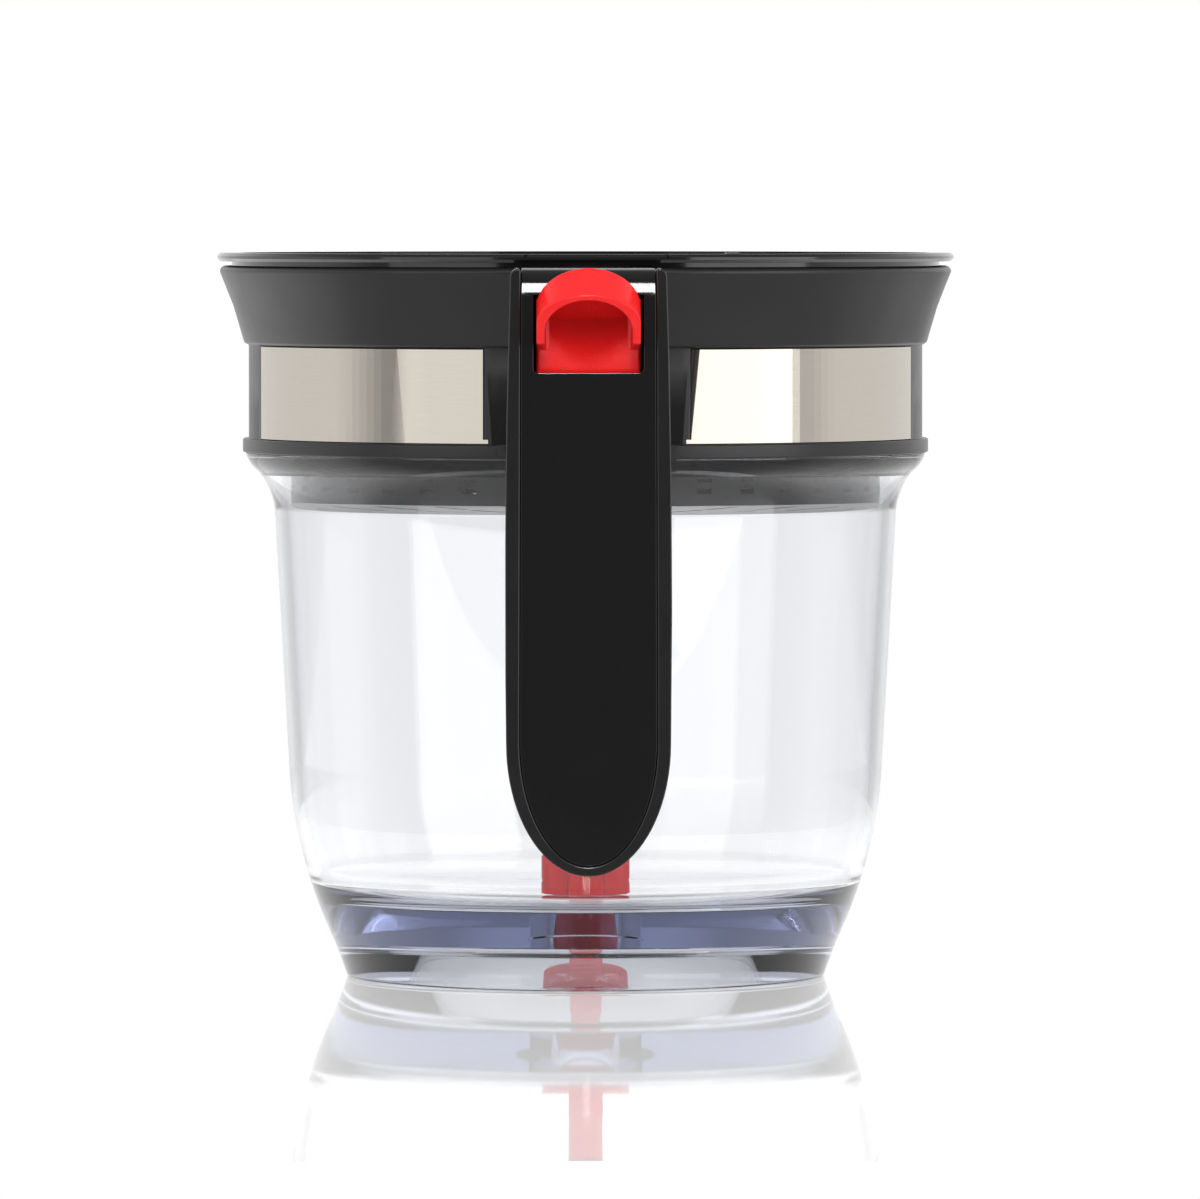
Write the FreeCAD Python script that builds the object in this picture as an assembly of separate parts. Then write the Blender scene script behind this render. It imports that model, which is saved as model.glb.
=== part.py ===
import FreeCAD, Part
import math
import os

# Gravy fat separator: a clear jug whose floor has a valve. A trigger on the handle lifts an arm
# above the strainer, the arm lifts a rod, and the rod lifts a plug off the drain hole, so the
# gravy runs out below while the fat floats above. The lid carries strainer, arm, rod and plug.
# Millimetres. Origin: axis of the cup, on the table. +Z up, the handle stands towards -Y.

Vector = FreeCAD.Vector

# Cup: one clear moulding, from the table up.
foot_radius = 48.9
foot_width = 4.6
foot_height = 7.2
foot_flare = 2.4
foot_edge = 0.8
under_floor = 10.2
floor_thickness = 6.3
floor_fillet = 5.0
belly_inset = 2.8
belly_height = 44.0
belly_bulge = 1.95
shoulder_inset = 6.0
shoulder_height = 94.9
shoulder_hollow = 0.7
shoulder_turn = (0.57, 0.68)
ledge_radius = 69.3
ledge_height = 106.8
ledge_round = 0.4
cup_wall = 2.6
neck_wall = 2.4
neck_height = 19.2
neck_gap = 0.3

# Drain in the cup's floor, with a short drip spout under it.
drain_radius = 7.4
spout_wall = 1.9
spout_drop = 4.2

# Collar: flange on the cup's ledge, band for the steel panels, flared mouth.
flange_overhang = 0.5
flange_thickness = 2.8
band_inset = 0.7
band_height = 19.0
collar_wall = 2.1
flare_step = 0.9
flare_height = 16.1
flare_hollow = 0.35
mouth_overhang = 5.2
mouth_edge = 1.1
seat_inset = 4.9
seat_thickness = 2.0
gasket_thickness = 1.0

# Steel trim panels, bonded into the band.
panel_thickness = 0.8
panel_bond = 0.05
panel_margin = 0.2
panel_start_deg = 17.5
panel_end_deg = 73.0
panel_tab_deg = 0.9
panel_tab_height = 0.8

# Handle: an open channel, closed by an insert from the front and the top.
handle_stand = 43.5
handle_depth = 16.0
handle_width = 31.9
handle_top_width = 30.3
handle_side_bulge = 0.5
handle_tip = 27.3
handle_tip_height = 25.7
handle_tip_depth = 4.6
handle_tip_bulge = 2.6
handle_tip_rise = 27.0
handle_back_lean = 0.6
handle_corner = 1.6
handle_back_round = 4.0
handle_shell = 2.6
insert_width = 26.6
insert_top_width = 26.1
insert_side_bulge = 0.15
insert_tip_margin = 1.9
insert_thickness = 2.4
insert_gap = 0.1
insert_nose = 5.6
bridge_rise = 2.4
bridge_corner = 14.0
bridge_floor = 3.0
mount_proud = 1.2
mount_wall = 3.0

# Fastenings inside the handle.
screw_radius = 1.5
screw_head_radius = 2.8
screw_head_height = 1.8
screw_length = 14.0
screw_spacing = 16.0
screw_boss_radius = 3.4
screw_slot_width = 0.8
screw_slot_depth = 0.8
peg_radius = 2.0
peg_length = 7.0
peg_boss_radius = 4.2
peg_fit = 0.05
bore_depth = 0.5
peg_heights = (50.0, 100.0)

# Trigger: lever on a pin, scoop outside, toe inside the collar.
trigger_travel_deg = 10.0
pivot_stand = 18.5
pivot_drop = 9.3
pin_radius = 1.5
pin_fit = 0.05
barrel_radius = 4.2
barrel_width = 12.6
lug_gap = 0.3
lug_width = 3.0
lever_width = 8.0
lever_thickness = 4.0
toe_overlap = 0.6
channel_depth = 16.1
slot_width = 9.4
slot_gap = 0.7
opening_width = 21.3
opening_depth = 20.1
opening_corner = 1.0
opening_top_drop = 5.0
scoop_width = 20.1
scoop_rise = 0.2
scoop_arch = 7.4
scoop_proud = 0.6
scoop_length = 8.8
scoop_fall = 5.3
scoop_wall = 1.65
scoop_edge = 1.0
scoop_skirt = 1.0
scoop_back = 6.0

# Room for a fingertip under the hood: its ceiling falls towards a dished back wall.
finger_arch = 6.0
finger_fall_deg = 17.0
finger_radius = 25.0
finger_depth = 3.4

# The scoop's side outline under its hood, as (y from the handle's front, z from the opening's
# lower edge): the lip's lower end and underside, then the skirt's lower edge and hollow back.
scoop_lip = ((-4.0, 5.4), (-0.2, 5.1), (2.2, 4.4))
scoop_heel = ((3.5, 0.0), (3.8, -1.0), (8.6, -1.0), (5.4, 7.0))

# The trigger's return spring, in a well under the lever.
trigger_spring_radius = 2.8
trigger_spring_wire = 0.7
trigger_spring_turns = 6
trigger_spring_rise = 2.0
spring_well_gap = 0.4
spring_well_wall = 1.4
spring_clear = 0.2

# Lid, with the strainer hung below it.
lid_overhang = 0.5
lid_thickness = 1.7
lid_edge = 0.6
lid_gap = 0.9
lid_side_gap = 0.35
lid_wall = 2.0
lid_floor = 2.0
lid_floor_gap = 0.4
lid_gasket_width = 1.6
lid_gasket_depth = 1.0
lid_gasket_gap = 0.3
toe_notch_width = 10.4
lid_mark_width = 1.0
lid_mark_length = 2.0
lid_mark_depth = 0.8
lid_mark_spacing = 28.7
lid_mark_turn_deg = 1.45
lid_pip = (2.6, 1.2, 0.4)
lid_pip_turn_deg = 22.8

strainer_inset = 4.4
strainer_wall = 1.8
strainer_depth = 31.8
strainer_plate = 2.0
strainer_flange = 2.4
strainer_snap = 0.8
strainer_snap_height = 1.0
strainer_snap_width = 9.0
strainer_snaps = 4
strainer_fit = 0.1
plate_slot_width = 1.6
plate_slot_rings = ((16.0, 27.0, 10), (30.0, 41.0, 16), (44.0, 55.0, 22))
window_width = 3.0
window_rows = ((0.7, 1.2), (3.4, 1.4))
window_count = 40
hub_radius = 9.5
hub_wall = 2.5
hub_height = 20.4
guide_length = 5.6
guide_wall = 2.5
guide_fit = 0.1
cap_thickness = 2.0
cap_skirt = 4.0
cap_wall = 1.2
cap_round = 0.8

# Valve: arm, rod and plug, with the spring that shuts it.
arm_width = 7.0
arm_thickness = 4.0
arm_overhang = 2.0
arm_boss_radius = 6.0
arm_rib_width = 3.0
arm_rib_height = 1.4
toe_gap = 0.3
rod_radius = 3.5
rod_collar_radius = 6.5
rod_collar_height = 1.8
rod_collar_lift = 0.6
leg_width = 7.0
leg_thickness = 2.5
leg_gap = 0.3
yoke_height = 3.4
hook_height = 1.8
hook_depth = 1.1
hook_fit = 0.1
plug_radius = 9.0
plug_height = 7.6
plug_edge = 2.5
plug_lift = 0.3
plug_nose_radius = 6.8
plug_nose_tip_radius = 6.0
plug_nose_length = 5.0
valve_spring_radius = 6.2
valve_spring_wire = 1.0
valve_spring_turns = 6
coil_runs = 14
coil_gap = 0.1

# Arcs of turned sections are drawn as chords this close to them.
chord_gap = 0.25

# Cuts, and pieces that are joined, run this far past the faces that they cross.
past = 1.0

# Levels and radii that follow from the sizes above.
shoulder_radius = ledge_radius - shoulder_inset
belly_radius = shoulder_radius - belly_inset
flange_radius = ledge_radius + flange_overhang
band_radius = ledge_radius - band_inset
mouth_radius = ledge_radius + mouth_overhang
seat_inner_radius = ledge_radius - seat_inset
lid_radius = mouth_radius + lid_overhang
strainer_radius = seat_inner_radius - strainer_inset
handle_reach = mouth_radius + handle_stand
mount_reach = flange_radius + mount_proud
pivot_reach = mouth_radius + pivot_stand
toe_reach = seat_inner_radius + toe_overlap
floor_top = under_floor + floor_thickness
neck_top = ledge_height + neck_height
band_bottom = ledge_height + flange_thickness
band_top = band_bottom + band_height
collar_top = band_top + flare_height
band_inner_radius = band_radius - collar_wall
neck_radius = band_inner_radius - neck_gap
neck_inner_radius = neck_radius - neck_wall
seat_bottom = neck_top + gasket_thickness
seat_top = seat_bottom + seat_thickness
flare_foot_radius = band_radius + flare_step
front = -handle_reach
back = front + handle_depth
insert_back = front + insert_thickness
cavity_back = back - handle_shell
bridge_bottom = band_bottom + bridge_rise
trigger_spring_seat = bridge_bottom + bridge_floor + trigger_spring_rise
opening_bottom = collar_top - opening_depth
scoop_crown = collar_top + scoop_rise
channel_bottom = collar_top - channel_depth
pivot_y = -pivot_reach
pivot_z = collar_top - pivot_drop
half_travel = math.radians(trigger_travel_deg / 2)
toe_arm = pivot_reach - toe_reach
valve_travel = 2 * toe_arm * math.sin(half_travel)
toe_z = pivot_z - valve_travel / 2
arm_bottom = toe_z + lever_thickness / 2 + toe_gap
arm_top = arm_bottom + arm_thickness
lid_bottom = collar_top + lid_gap
lid_top = lid_bottom + lid_thickness
lid_floor_bottom = seat_top + lid_floor_gap
lid_floor_top = lid_floor_bottom + lid_floor
strainer_bottom = lid_floor_bottom - strainer_depth
plate_top = strainer_bottom + strainer_plate
hub_top = plate_top + hub_height
plug_bottom = floor_top + plug_lift
plug_top = plug_bottom + plug_height


def in_section(u, v):
    """A point of a section that is turned about the cup's axis."""
    return Vector(u, 0, v)


def from_side(u, v):
    """A point of an outline seen from the side, u along Y."""
    return Vector(0, u, v)


def from_front(u, v):
    """A point of an outline seen from the front, u along X."""
    return Vector(u, 0, v)


def arc_middle(here, there, bulge):
    """The middle of an arc that stands off its chord by the bulge, to the right of the way."""
    run = (there[0] - here[0], there[1] - here[1])
    side = bulge / math.hypot(*run)
    return (here[0] + there[0]) / 2 + run[1] * side, (here[1] + there[1]) / 2 - run[0] * side


def outline(place, start, *steps):
    """Face inside a closed outline. A step is a corner (u, v), or (u, v, bulge) for an arc that
    reaches the corner and stands off its chord by the bulge, to the right of the way there."""
    edges = []
    here = start
    for step in steps + (start,):
        there = step[:2]
        if len(step) == 3:
            middle = arc_middle(here, there, step[2])
            edges.append(Part.Arc(place(*here), place(*middle), place(*there)).toShape())
        elif math.dist(here, there) > 1e-7:
            edges.append(Part.LineSegment(place(*here), place(*there)).toShape())
        here = there
    return Part.Face(Part.Wire(edges))


def section(start, *steps):
    """Face inside a section that is turned about the cup's axis. Its steps are an outline's, and
    each arc is drawn as the fewest equal chords that stay within the chord gap of it."""
    corners = [start]
    for step in steps:
        here, there = corners[-1], step[:2]
        if len(step) == 3:
            middle = arc_middle(here, there, step[2])
            arc = Part.Arc(in_section(*here), in_section(*middle), in_section(*there)).toShape()
            chords = math.ceil(math.sqrt(abs(step[2]) / chord_gap))
            corners += [(point.x, point.z) for point in arc.discretize(chords + 1)[1:-1]]
        corners.append(there)
    return outline(in_section, *corners)


def quarter(radius):
    """The bulge of a quarter circle's arc off its chord."""
    return radius * (1 - math.cos(math.radians(45)))


def turned(face, degrees=360):
    """A section turned about the cup's axis."""
    return face.revolve(Vector(0, 0, 0), Vector(0, 0, 1), degrees)


def prism(face, direction, half_length):
    """An outline drawn on a middle plane, carried equally far to both sides of it."""
    moved = face.translated(direction * -half_length)
    return moved.extrude(direction * 2 * half_length)


def ring(inner, outer, bottom, top):
    """A ring about the cup's axis, or a disc where the inner radius is nothing."""
    body = Part.makeCylinder(outer, top - bottom, Vector(0, 0, bottom))
    if inner > 0:
        body = body.cut(Part.makeCylinder(inner, top - bottom, Vector(0, 0, bottom)))
    return body


def block(x_range, y_range, z_range):
    """A box between two values on each axis."""
    sizes = [high - low for low, high in (x_range, y_range, z_range)]
    return Part.makeBox(*sizes, Vector(x_range[0], y_range[0], z_range[0]))


def rod_along(axis, centre, radius, start, end):
    """A round bar along X or Y between two values on that axis."""
    place = Vector(start, *centre) if axis == "x" else Vector(centre[0], start, centre[1])
    way = Vector(1, 0, 0) if axis == "x" else Vector(0, 1, 0)
    return Part.makeCylinder(radius, end - start, place, way)


def coil(radius, wire, turns, bottom, top, centre):
    """A compression spring of square wire in short straight runs up a helix, its two end turns
    closed: each rises by no more than the wire and a small gap."""
    half = wire / 2
    mean = radius - half
    closed = wire + coil_gap
    pitch = (top - bottom - wire - 2 * closed) / (turns - 2)
    steps = round(turns * coil_runs)
    rings = []
    for index in range(steps + 1):
        turn = index / coil_runs
        angle = 2 * math.pi * turn
        closed_turns = min(turn, 1) + max(turn - turns + 1, 0)
        level = bottom + half + closed_turns * closed + (turn - closed_turns) * pitch
        corners = []
        for out, up in ((-half, -half), (half, -half), (half, half), (-half, half)):
            x = centre[0] + (mean + out) * math.cos(angle)
            y = centre[1] + (mean + out) * math.sin(angle)
            corners.append(Vector(x, y, level + up))
        rings.append(corners)
    faces = [Part.Face(Part.makePolygon(ends + ends[:1])) for ends in (rings[0], rings[-1])]
    for near, far in zip(rings, rings[1:]):
        for side in range(4):
            after = (side + 1) % 4
            for corners in ((near[side], near[after], far[after]), (near[side], far[after], far[side])):
                faces.append(Part.Face(Part.makePolygon([*corners, corners[0]])))
    shell = Part.Shell(faces)
    shell.sewShape()
    body = Part.Solid(shell)
    if body.Volume < 0:
        body.reverse()
    return body


def belly_at(height):
    """Radius of the cup's outside at a height on the bend between the heel and the belly."""
    foot = (foot_radius + foot_flare, foot_height)
    top = (belly_radius, belly_height)
    chord = math.dist(foot, top)
    bend = (chord**2 / 4 + belly_bulge**2) / (2 * belly_bulge)
    centre_x, centre_z = arc_middle(foot, top, belly_bulge - bend)
    return centre_x + math.sqrt(bend**2 - (height - centre_z) ** 2)


def make_cup():
    heel_radius = foot_radius + foot_flare
    foot_inner = foot_radius - foot_width
    rise = ledge_height - shoulder_height
    spread = ledge_radius - shoulder_radius
    turn_radius = shoulder_radius + shoulder_turn[0] * spread
    turn_height = shoulder_height + shoulder_turn[1] * rise
    inner_belly = belly_radius - cup_wall
    inner_shoulder = shoulder_radius - cup_wall
    fillet_top = floor_top + floor_fillet
    inner_low = belly_at(fillet_top) - cup_wall
    inner_share = (belly_height - fillet_top) / (belly_height - foot_height)
    profile = section(
        (foot_inner, 0),
        (foot_radius - foot_edge, 0),
        (foot_radius, foot_edge, quarter(foot_edge)),
        (heel_radius, foot_height),
        (belly_radius, belly_height, belly_bulge),
        (shoulder_radius, shoulder_height),
        (turn_radius, turn_height, -shoulder_hollow),
        (ledge_radius, ledge_height, ledge_round),
        (neck_radius, ledge_height),
        (neck_radius, neck_top),
        (neck_inner_radius, neck_top),
        (neck_inner_radius, turn_height + cup_wall / 2),
        (inner_shoulder, shoulder_height + cup_wall / 2, shoulder_hollow),
        (inner_belly, belly_height),
        (inner_low, fillet_top, -belly_bulge * inner_share**2),
        (inner_low - floor_fillet, floor_top, -quarter(floor_fillet)),
        (drain_radius, floor_top),
        (drain_radius, under_floor - spout_drop),
        (drain_radius + spout_wall, under_floor - spout_drop),
        (drain_radius + spout_wall, under_floor),
        (foot_inner - foot_width, under_floor),
        (foot_inner - foot_width / 2, under_floor - foot_width / 2, quarter(foot_width / 2)),
    )
    return turned(profile)


def flare_inner_radius(height):
    """Radius of the collar's flared mouth inside, at a height, on the straight chord."""
    share = (height - seat_top) / (collar_top - seat_top)
    low = flare_foot_radius - collar_wall
    high = mouth_radius - collar_wall
    return low + (high - low) * share


def collar_section():
    return section(
        (band_inner_radius, ledge_height),
        (flange_radius, ledge_height),
        (flange_radius, band_bottom),
        (band_radius, band_bottom),
        (band_radius, band_top),
        (flare_foot_radius, band_top + flare_step / 2),
        (mouth_radius, collar_top - mouth_edge, -flare_hollow),
        (mouth_radius - mouth_edge, collar_top, quarter(mouth_edge)),
        (flare_inner_radius(collar_top), collar_top),
        (flare_inner_radius(seat_top), seat_top, flare_hollow),
        (seat_inner_radius, seat_top),
        (seat_inner_radius, seat_bottom),
        (band_inner_radius, seat_bottom),
    )


def collar_outside():
    """The collar without its hollow, to cut what stands against it from outside."""
    profile = section(
        (0, ledge_height),
        (flange_radius, ledge_height),
        (flange_radius, band_bottom),
        (band_radius, band_bottom),
        (band_radius, band_top),
        (flare_foot_radius, band_top + flare_step / 2),
        (mouth_radius, collar_top - mouth_edge, -flare_hollow),
        (mouth_radius - mouth_edge, collar_top, quarter(mouth_edge)),
        (0, collar_top),
    )
    return turned(profile)


def screw_centres():
    """Where the two handle screws lie, as (x, z)."""
    level = (bridge_bottom + bridge_floor + channel_bottom - handle_shell) / 2
    return [(side * screw_spacing / 2, level) for side in (-1, 1)]


def toe_slot(width, gap):
    """The room that the trigger's toe sweeps on its way into the jug."""
    reach = pivot_reach - band_inner_radius
    swing = reach * math.sin(half_travel) + lever_thickness / 2 + gap
    return block(
        (-width / 2, width / 2),
        (-mouth_radius - past, -toe_reach + lever_thickness),
        (pivot_z - swing, pivot_z + swing),
    )


def panel_body(inner, outer, grow):
    """One steel panel right of the handle, or its recess where it grows by the bond."""
    low = band_bottom + panel_margin - grow
    high = band_top - panel_margin + grow
    edge = math.degrees(grow / outer)
    first = panel_start_deg - edge
    body = None
    for start, end, top in (
        (first, panel_end_deg + edge, high),
        (first - panel_tab_deg, first, low + panel_tab_height + grow),
    ):
        profile = section((inner, low), (outer, low), (outer, top), (inner, top))
        piece = turned(profile, end - start)
        piece.rotate(Vector(0, 0, 0), Vector(0, 0, 1), start - 90)
        body = piece if body is None else body.fuse(piece)
    return body.removeSplitter()


def make_panels():
    """The four panels by name: two beside the handle, two mirrored to the far side."""
    right = panel_body(band_radius - panel_thickness, band_radius, 0)
    left = right.mirror(Vector(0, 0, 0), Vector(1, 0, 0))
    return {
        "steel_panel_right": right,
        "steel_panel_left": left,
        "steel_panel_front_right": right.mirror(Vector(0, 0, 0), Vector(0, 1, 0)),
        "steel_panel_front_left": left.mirror(Vector(0, 0, 0), Vector(0, 1, 0)),
    }


def make_collar():
    collar = turned(collar_section())
    pad = block(
        (-handle_top_width / 2, handle_top_width / 2),
        (-mount_reach, -seat_inner_radius / 2),
        (band_bottom, band_top),
    )
    pad = pad.cut(Part.makeCylinder(band_inner_radius, collar_top))
    collar = collar.fuse(pad)
    recess = panel_body(band_radius - panel_thickness - panel_bond, band_radius + past, panel_bond)
    mirrored = recess.mirror(Vector(0, 0, 0), Vector(1, 0, 0))
    recesses = [recess, mirrored]
    recesses += [shape.mirror(Vector(0, 0, 0), Vector(0, 1, 0)) for shape in (recess, mirrored)]
    holes = [toe_slot(slot_width, slot_gap)]
    for x, z in screw_centres():
        holes.append(rod_along("y", (x, z), screw_radius + pin_fit, -mount_reach - past, -neck_radius / 2))
        head_room = rod_along(
            "y",
            (x, z),
            screw_head_radius + 2 * pin_fit,
            -mount_reach + screw_head_height,
            -neck_radius / 2,
        )
        holes.append(head_room)
    return collar.cut(recesses + holes)


def make_collar_gasket():
    return ring(seat_inner_radius + neck_gap, neck_radius, neck_top, seat_bottom)


def front_outline(width, top_width, bulge, tip, corner):
    """The handle's outline from the front: straight top, bowed sides, half an ellipse below."""
    middle = handle_tip + handle_tip_height
    half, half_top = width / 2, top_width / 2
    height = collar_top - corner - middle
    slope = math.hypot(half_top - half, height)
    edges = []
    for side in (-1, 1):
        low = Vector(side * half, 0, middle)
        high = Vector(side * half_top, 0, collar_top - corner)
        bow = Vector(side * height, 0, half - half_top) * (bulge / slope)
        edges.append(Part.Arc(low, (low + high) / 2 + bow, high).toShape())
        if corner > 0:
            reach = corner * math.cos(math.radians(45))
            round_middle = Vector(side * (half_top - corner + reach), 0, collar_top - corner + reach)
            round_end = Vector(side * (half_top - corner), 0, collar_top)
            edges.append(Part.Arc(high, round_middle, round_end).toShape())
    top = half_top - corner
    edges.append(Part.LineSegment(Vector(-top, 0, collar_top), Vector(top, 0, collar_top)).toShape())
    ellipse = Part.Ellipse(Vector(0, 0, tip), Vector(half, 0, middle), Vector(0, 0, middle))
    edges.append(Part.ArcOfEllipse(ellipse, -math.pi / 2, math.pi / 2).toShape())
    return Part.Face(Part.Wire(Part.__sortEdges__(edges)))


def handle_profile(inset, bridge):
    """The handle's outline from the side, its back moved in by the inset."""
    rise = handle_tip + handle_tip_rise
    steps = [
        (front, handle_tip),
        (front + handle_tip_depth - inset, handle_tip),
        (back - inset - handle_back_lean, rise, handle_tip_bulge),
    ]
    if bridge:
        steps += [
            (back, bridge_bottom - bridge_corner),
            (back + bridge_corner, bridge_bottom, -quarter(bridge_corner)),
            (-mount_reach, bridge_bottom),
            (-mount_reach, band_top),
            (-band_inner_radius, band_top),
            (-band_inner_radius, collar_top),
        ]
    else:
        steps += [(back - inset, bridge_bottom - bridge_corner), (back - inset, collar_top)]
    return outline(from_side, (front, collar_top), *steps)


def handle_body(shape_width, top_width, bulge, tip, corner, profile):
    """A solid with one outline from the front and another from the side."""
    wide = prism(profile, Vector(1, 0, 0), handle_width)
    long_face = front_outline(shape_width, top_width, bulge, tip, corner)
    long = prism(long_face, Vector(0, 1, 0), 2 * handle_reach)
    return wide.common(long)


def insert_outline(gap):
    """The insert's outline as handle_body's arguments, made smaller all round by a gap."""
    tip = handle_tip + insert_tip_margin + gap
    return insert_width - 2 * gap, insert_top_width - 2 * gap, insert_side_bulge, tip, 0


def make_handle_frame():
    body = handle_body(
        handle_width,
        handle_top_width,
        handle_side_bulge,
        handle_tip,
        handle_corner,
        handle_profile(0, True),
    )
    back_edges = []
    for edge in body.Edges:
        middle = edge.valueAt((edge.FirstParameter + edge.LastParameter) / 2)
        on_back = abs(middle.y - back) < 1 and handle_tip < middle.z < bridge_bottom
        if on_back and abs(middle.x) > handle_width / 4:
            back_edges.append(edge)
    body = body.makeChamfer(handle_back_round, back_edges)

    cavity = handle_body(*insert_outline(0), handle_profile(handle_shell, False))
    half_channel = insert_top_width / 2
    channel = block(
        (-half_channel, half_channel),
        (cavity_back - past, -band_inner_radius + past),
        (channel_bottom, collar_top + past),
    )
    hollow = block(
        (-half_channel, half_channel),
        (cavity_back - past, -mount_reach - mount_wall),
        (bridge_bottom + bridge_floor, channel_bottom - handle_shell),
    )
    body = body.cut([cavity, channel, hollow, collar_outside()])

    added = []
    holes = []
    end = -mount_reach
    for x, z in screw_centres():
        added.append(rod_along("y", (x, z), screw_boss_radius, end - screw_length, end - past))
        holes.append(rod_along("y", (x, z), screw_radius + pin_fit, end - screw_length - past, end + past))
    for z in peg_heights:
        deep = front + insert_thickness + peg_length
        added.append(rod_along("y", (0, z), peg_boss_radius, deep - peg_length / 2, back - past))
        holes.append(rod_along("y", (0, z), peg_radius + peg_fit, deep - peg_length, deep + bore_depth))
    for side in (-1, 1):
        inner = side * (barrel_width / 2 + lug_gap)
        ends = sorted((inner, inner + side * lug_width))
        lug = block(
            ends,
            (pivot_y - barrel_radius, pivot_y + barrel_radius),
            (channel_bottom - past, pivot_z),
        )
        added.append(lug)
        added.append(rod_along("x", (pivot_y, pivot_z), barrel_radius, *ends))
    pin_reach = barrel_width / 2 + lug_gap + lug_width
    holes.append(rod_along("x", (pivot_y, pivot_z), pin_radius + pin_fit, -pin_reach, pin_reach))
    well = trigger_spring_radius + spring_well_gap
    place = Vector(0, spring_y(), bridge_bottom + bridge_floor - past)
    added.append(Part.makeCylinder(well + spring_well_wall, channel_bottom - place.z, place))
    bore = Vector(0, spring_y(), trigger_spring_seat)
    holes.append(Part.makeCylinder(well, collar_top - trigger_spring_seat, bore))
    return body.fuse(added).cut(holes).removeSplitter()


def make_handle_panel():
    nose = insert_nose
    inner_nose = nose - insert_thickness
    under = collar_top - insert_thickness
    profile = outline(
        from_side,
        (front, handle_tip),
        (insert_back, handle_tip),
        (insert_back, under - inner_nose),
        (insert_back + inner_nose, under, -quarter(inner_nose)),
        (-seat_inner_radius, under),
        (-seat_inner_radius, collar_top),
        (front + nose, collar_top),
        (front, collar_top - nose, quarter(nose)),
    )
    body = handle_body(*insert_outline(insert_gap), profile)
    half = opening_width / 2
    corner = opening_corner
    opening_top = collar_top - opening_top_drop
    opening = outline(
        from_front,
        (-half, opening_top),
        (-half, opening_bottom + corner),
        (-half + corner, opening_bottom, quarter(corner)),
        (half - corner, opening_bottom),
        (half, opening_bottom + corner, quarter(corner)),
        (half, opening_top),
    )
    window = opening.translated(Vector(0, front - past, 0)).extrude(Vector(0, insert_nose + past, 0))
    body = body.cut([window, collar_outside()])
    pegs = []
    for z in peg_heights:
        pegs.append(rod_along("y", (0, z), peg_radius, insert_back - past, insert_back + peg_length))
    return body.fuse(pegs)


def make_handle_screws():
    screws = []
    for x, z in screw_centres():
        seat = -mount_reach + screw_head_height
        shank = rod_along("y", (x, z), screw_radius, seat - screw_length, seat)
        head = rod_along("y", (x, z), screw_head_radius, seat, seat + screw_head_height)
        face = seat + screw_head_height
        half = screw_slot_width / 2
        slot = block(
            (x - screw_radius, x + screw_radius),
            (face - screw_slot_depth, face),
            (z - half, z + half),
        )
        screws.append(shank.fuse(head).cut(slot))
    return Part.makeCompound(screws)


def spring_y():
    """The trigger spring stands clear of the barrel, in front of the pivot."""
    return pivot_y - barrel_radius - trigger_spring_radius - spring_well_gap


def lever_bottom():
    """Underside of the trigger's outer web, level with the barrel's lower side."""
    return pivot_z - barrel_radius + spring_clear


def make_trigger_pin():
    reach = barrel_width / 2 + lug_gap + lug_width
    return rod_along("x", (pivot_y, pivot_z), pin_radius, -reach, reach)


def make_trigger_spring():
    top = lever_bottom() - spring_clear
    return coil(
        trigger_spring_radius,
        trigger_spring_wire,
        trigger_spring_turns,
        trigger_spring_seat,
        top,
        (0, spring_y()),
    )


def arch(half, rise, crown, way):
    """A round-headed doorway, half an ellipse on two posts, carried along a way from its crown."""
    y, top = crown
    springing = top - rise
    low = opening_bottom - 2 * scoop_wall
    head = Part.Ellipse(Vector(half, y, springing), Vector(0, y, top), Vector(0, y, springing))
    edges = [
        Part.ArcOfEllipse(head, 0, math.pi).toShape(),
        Part.LineSegment(Vector(-half, y, springing), Vector(-half, y, low)).toShape(),
        Part.LineSegment(Vector(-half, y, low), Vector(half, y, low)).toShape(),
        Part.LineSegment(Vector(half, y, low), Vector(half, y, springing)).toShape(),
    ]
    return Part.Face(Part.Wire(edges)).extrude(way)


def finger_hollow():
    """The room for a fingertip: an arch under the hood, its ceiling cut to a slope down to the
    dished back wall."""
    start = front - scoop_proud - scoop_length - past
    end = front + finger_depth + past
    top = scoop_crown - scoop_fall - scoop_edge
    low = opening_bottom - 2 * scoop_wall
    room = arch(scoop_width / 2 - scoop_wall, finger_arch, (start, top), Vector(0, end - start, 0))
    fall = math.tan(math.radians(finger_fall_deg))
    ceiling = ((start, top + 2 * past * fall), (end, top + (start + 2 * past - end) * fall))
    slope = outline(from_side, *ceiling, (end, low), (start, low))
    wall = Part.makeCylinder(
        finger_radius, top - low, Vector(0, front + finger_depth - finger_radius, low)
    )
    return room.common(prism(slope, Vector(1, 0, 0), scoop_width / 2)).common(wall)


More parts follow.
